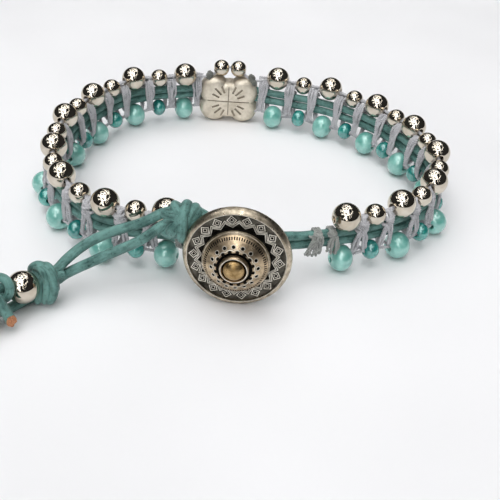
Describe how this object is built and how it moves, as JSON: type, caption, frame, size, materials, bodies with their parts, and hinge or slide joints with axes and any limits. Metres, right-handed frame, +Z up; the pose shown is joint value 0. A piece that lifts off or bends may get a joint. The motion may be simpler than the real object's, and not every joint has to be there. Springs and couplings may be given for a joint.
{
  "type": "beaded leather wrap bracelet",
  "caption": "Macrame bracelet of polished round beads and pearl seed beads on a folded leather cord, closed by a round cast button, with knotted free ends.",
  "frame": {"origin": "centre of the closed bracelet without its free ends, on the surface that it stands on", "axes": "+Z up, from the seed beads to the polished beads; -Y towards the button; +X along the band's right side as seen from the button"},
  "size_m": [0.0694, 0.071, 0.0148],
  "materials": {
    "polished_silver": "mirror polished plating",
    "warm_silver": "satin plating, darker in the engraved lines",
    "antique_brass": "polished high spots, blackened in the recesses",
    "mint_pearl_glass": "opaque, pearl lustre",
    "turquoise_pearl_glass": "opaque, strong lustre",
    "teal_leather": "smooth dyed cord, satin",
    "grey_thread": "twisted waxed nylon"
  },
  "bodies": {
    "root": {"leather_cord": "teal_leather", "upper_thread": "grey_thread", "lower_thread": "grey_thread", "macrame_knots": "grey_thread", "end_wraps": "grey_thread", "large_seed_beads": "mint_pearl_glass", "small_seed_beads": "turquoise_pearl_glass", "flower_bead": "warm_silver", "button": "antique_brass", "closing_knot": "teal_leather", "tail_strand_a": "teal_leather", "tail_strand_b": "teal_leather", "loop_knot": "teal_leather", "tail_bead_a": "polished_silver", "tail_bead_b": "polished_silver", "end_knot_a": "teal_leather", "end_knot_b": "teal_leather", "silver_back_1": "polished_silver", "silver_back_2": "polished_silver", "silver_left_1": "polished_silver", "silver_left_2": "polished_silver", "silver_left_3": "polished_silver", "silver_left_4": "polished_silver", "silver_left_5": "polished_silver", "silver_left_6": "polished_silver", "silver_left_7": "polished_silver", "silver_left_8": "polished_silver", "silver_left_9": "polished_silver", "silver_left_10": "polished_silver", "silver_left_11": "polished_silver", "silver_left_12": "polished_silver", "silver_left_13": "polished_silver", "silver_left_14": "polished_silver", "silver_left_15": "polished_silver", "silver_right_1": "polished_silver", "silver_right_2": "polished_silver", "silver_right_3": "polished_silver", "silver_right_4": "polished_silver", "silver_right_5": "polished_silver", "silver_right_6": "polished_silver", "silver_right_7": "polished_silver", "silver_right_8": "polished_silver", "silver_right_9": "polished_silver", "silver_right_10": "polished_silver", "silver_right_11": "polished_silver", "silver_right_12": "polished_silver", "silver_right_13": "polished_silver", "silver_right_14": "polished_silver", "silver_right_15": "polished_silver"}
  },
  "joints": []
}
